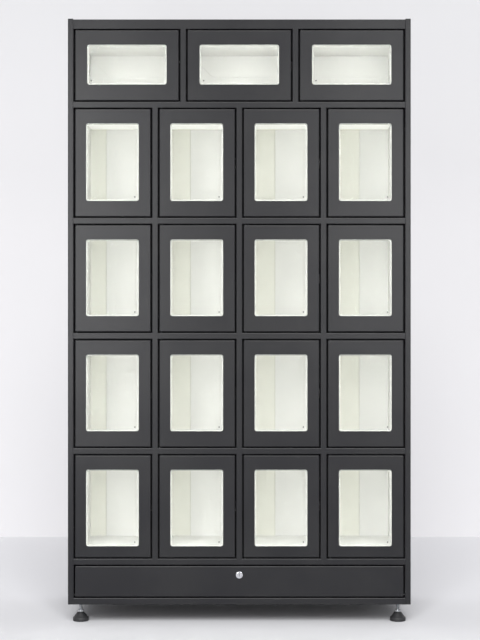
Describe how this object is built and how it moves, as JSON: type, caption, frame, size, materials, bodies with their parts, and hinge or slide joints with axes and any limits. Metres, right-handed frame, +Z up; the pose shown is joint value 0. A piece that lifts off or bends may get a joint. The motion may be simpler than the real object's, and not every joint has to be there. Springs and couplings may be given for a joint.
{
  "type": "smart locker",
  "caption": "Free-standing steel smart locker with rows of windowed compartment doors, a keyed service flap below them and levelling feet.",
  "frame": {"origin": "on the floor under the middle of the cabinet", "axes": "+X to the right seen from the doors, -Y towards the person who opens them, +Z up"},
  "size_m": [1, 0.4522, 1.7616],
  "materials": {
    "charcoal_powder_coat": "fine-textured powder coat",
    "white_powder_coat": "smooth satin powder coat",
    "clear_acrylic": "clear polished sheet",
    "chrome": "bright chrome plate",
    "zinc_plate": "zinc plate",
    "aluminium_case": "plain sheet",
    "black_moulding": "fine spark-eroded moulding"
  },
  "bodies": {
    "cabinet": {"front_frame": "charcoal_powder_coat", "side_panel_left": "charcoal_powder_coat", "side_panel_right": "charcoal_powder_coat", "top_panel": "charcoal_powder_coat", "base_panel": "charcoal_powder_coat", "back_panel": "charcoal_powder_coat", "row_liner_top": "white_powder_coat", "row_liner_1": "white_powder_coat", "row_liner_2": "white_powder_coat", "row_liner_3": "white_powder_coat", "row_liner_4": "white_powder_coat", "controller_box": "black_moulding", "power_supply": "aluminium_case", "power_inlet": "black_moulding"},
    "compartment_door_4_1": {"door_4_1": "charcoal_powder_coat", "window_4_1": "clear_acrylic"},
    "compartment_door_4_2": {"door_4_2": "charcoal_powder_coat", "window_4_2": "clear_acrylic"},
    "compartment_door_4_3": {"door_4_3": "charcoal_powder_coat", "window_4_3": "clear_acrylic"},
    "compartment_door_4_4": {"door_4_4": "charcoal_powder_coat", "window_4_4": "clear_acrylic"},
    "compartment_door_3_1": {"door_3_1": "charcoal_powder_coat", "window_3_1": "clear_acrylic"},
    "compartment_door_3_2": {"door_3_2": "charcoal_powder_coat", "window_3_2": "clear_acrylic"},
    "compartment_door_3_3": {"door_3_3": "charcoal_powder_coat", "window_3_3": "clear_acrylic"},
    "compartment_door_3_4": {"door_3_4": "charcoal_powder_coat", "window_3_4": "clear_acrylic"},
    "compartment_door_2_1": {"door_2_1": "charcoal_powder_coat", "window_2_1": "clear_acrylic"},
    "compartment_door_2_2": {"door_2_2": "charcoal_powder_coat", "window_2_2": "clear_acrylic"},
    "compartment_door_2_3": {"door_2_3": "charcoal_powder_coat", "window_2_3": "clear_acrylic"},
    "compartment_door_2_4": {"door_2_4": "charcoal_powder_coat", "window_2_4": "clear_acrylic"},
    "compartment_door_1_1": {"door_1_1": "charcoal_powder_coat", "window_1_1": "clear_acrylic"},
    "compartment_door_1_2": {"door_1_2": "charcoal_powder_coat", "window_1_2": "clear_acrylic"},
    "compartment_door_1_3": {"door_1_3": "charcoal_powder_coat", "window_1_3": "clear_acrylic"},
    "compartment_door_1_4": {"door_1_4": "charcoal_powder_coat", "window_1_4": "clear_acrylic"},
    "compartment_door_top_1": {"door_top_1": "charcoal_powder_coat", "window_top_1": "clear_acrylic"},
    "compartment_door_top_2": {"door_top_2": "charcoal_powder_coat", "window_top_2": "clear_acrylic"},
    "compartment_door_top_3": {"door_top_3": "charcoal_powder_coat", "window_top_3": "clear_acrylic"},
    "service_flap": {"service_flap": "charcoal_powder_coat", "lock_housing": "chrome"},
    "lock_plug": {"lock_plug": "chrome", "lock_cam": "zinc_plate"},
    "foot_front_left": {"foot_front_left": "black_moulding"},
    "foot_front_right": {"foot_front_right": "black_moulding"},
    "foot_rear_left": {"foot_rear_left": "black_moulding"},
    "foot_rear_right": {"foot_rear_right": "black_moulding"}
  },
  "joints": [
    {"name": "door_4_1_hinge", "type": "hinge", "parent": "cabinet", "child": "compartment_door_4_1", "pos_m": [-0.4731, -0.2189, 0.1906], "axis": [0, 0, -1], "range_deg": [0, 110]},
    {"name": "door_4_2_hinge", "type": "hinge", "parent": "cabinet", "child": "compartment_door_4_2", "pos_m": [-0.2273, -0.2189, 0.1906], "axis": [0, 0, -1], "range_deg": [0, 110]},
    {"name": "door_4_3_hinge", "type": "hinge", "parent": "cabinet", "child": "compartment_door_4_3", "pos_m": [0.0185, -0.2189, 0.1906], "axis": [0, 0, -1], "range_deg": [0, 110]},
    {"name": "door_4_4_hinge", "type": "hinge", "parent": "cabinet", "child": "compartment_door_4_4", "pos_m": [0.2643, -0.2189, 0.1906], "axis": [0, 0, -1], "range_deg": [0, 110]},
    {"name": "door_3_1_hinge", "type": "hinge", "parent": "cabinet", "child": "compartment_door_3_1", "pos_m": [-0.4731, -0.2189, 0.5132], "axis": [0, 0, -1], "range_deg": [0, 110]},
    {"name": "door_3_2_hinge", "type": "hinge", "parent": "cabinet", "child": "compartment_door_3_2", "pos_m": [-0.2273, -0.2189, 0.5132], "axis": [0, 0, -1], "range_deg": [0, 110]},
    {"name": "door_3_3_hinge", "type": "hinge", "parent": "cabinet", "child": "compartment_door_3_3", "pos_m": [0.0185, -0.2189, 0.5132], "axis": [0, 0, -1], "range_deg": [0, 110]},
    {"name": "door_3_4_hinge", "type": "hinge", "parent": "cabinet", "child": "compartment_door_3_4", "pos_m": [0.2643, -0.2189, 0.5132], "axis": [0, 0, -1], "range_deg": [0, 110]},
    {"name": "door_2_1_hinge", "type": "hinge", "parent": "cabinet", "child": "compartment_door_2_1", "pos_m": [-0.4731, -0.2189, 0.8489], "axis": [0, 0, -1], "range_deg": [0, 110]},
    {"name": "door_2_2_hinge", "type": "hinge", "parent": "cabinet", "child": "compartment_door_2_2", "pos_m": [-0.2273, -0.2189, 0.8489], "axis": [0, 0, -1], "range_deg": [0, 110]},
    {"name": "door_2_3_hinge", "type": "hinge", "parent": "cabinet", "child": "compartment_door_2_3", "pos_m": [0.0185, -0.2189, 0.8489], "axis": [0, 0, -1], "range_deg": [0, 110]},
    {"name": "door_2_4_hinge", "type": "hinge", "parent": "cabinet", "child": "compartment_door_2_4", "pos_m": [0.2643, -0.2189, 0.8489], "axis": [0, 0, -1], "range_deg": [0, 110]},
    {"name": "door_1_1_hinge", "type": "hinge", "parent": "cabinet", "child": "compartment_door_1_1", "pos_m": [-0.4731, -0.2189, 1.1846], "axis": [0, 0, -1], "range_deg": [0, 110]},
    {"name": "door_1_2_hinge", "type": "hinge", "parent": "cabinet", "child": "compartment_door_1_2", "pos_m": [-0.2273, -0.2189, 1.1846], "axis": [0, 0, -1], "range_deg": [0, 110]},
    {"name": "door_1_3_hinge", "type": "hinge", "parent": "cabinet", "child": "compartment_door_1_3", "pos_m": [0.0185, -0.2189, 1.1846], "axis": [0, 0, -1], "range_deg": [0, 110]},
    {"name": "door_1_4_hinge", "type": "hinge", "parent": "cabinet", "child": "compartment_door_1_4", "pos_m": [0.2643, -0.2189, 1.1846], "axis": [0, 0, -1], "range_deg": [0, 110]},
    {"name": "door_top_1_hinge", "type": "hinge", "parent": "cabinet", "child": "compartment_door_top_1", "pos_m": [-0.4731, -0.2189, 1.5231], "axis": [0, 0, -1], "range_deg": [0, 110]},
    {"name": "door_top_2_hinge", "type": "hinge", "parent": "cabinet", "child": "compartment_door_top_2", "pos_m": [-0.14537, -0.2189, 1.5231], "axis": [0, 0, -1], "range_deg": [0, 110]},
    {"name": "door_top_3_hinge", "type": "hinge", "parent": "cabinet", "child": "compartment_door_top_3", "pos_m": [0.18237, -0.2189, 1.5231], "axis": [0, 0, -1], "range_deg": [0, 110]},
    {"name": "service_flap_hinge", "type": "hinge", "parent": "cabinet", "child": "service_flap", "pos_m": [0, -0.2189, 0.082], "axis": [1, 0, 0], "range_deg": [0, 90]},
    {"name": "lock_turn", "type": "hinge", "parent": "service_flap", "child": "lock_plug", "pos_m": [0, -0.2239, 0.1396], "axis": [0, 1, 0], "range_deg": [0, 90]},
    {"name": "foot_front_left_thread", "type": "slide", "parent": "cabinet", "child": "foot_front_left", "axis": [0, 0, 1], "range_m": [-0.012, 0.018]},
    {"name": "foot_front_right_thread", "type": "slide", "parent": "cabinet", "child": "foot_front_right", "axis": [0, 0, 1], "range_m": [-0.012, 0.018]},
    {"name": "foot_rear_left_thread", "type": "slide", "parent": "cabinet", "child": "foot_rear_left", "axis": [0, 0, 1], "range_m": [-0.012, 0.018]},
    {"name": "foot_rear_right_thread", "type": "slide", "parent": "cabinet", "child": "foot_rear_right", "axis": [0, 0, 1], "range_m": [-0.012, 0.018]}
  ]
}
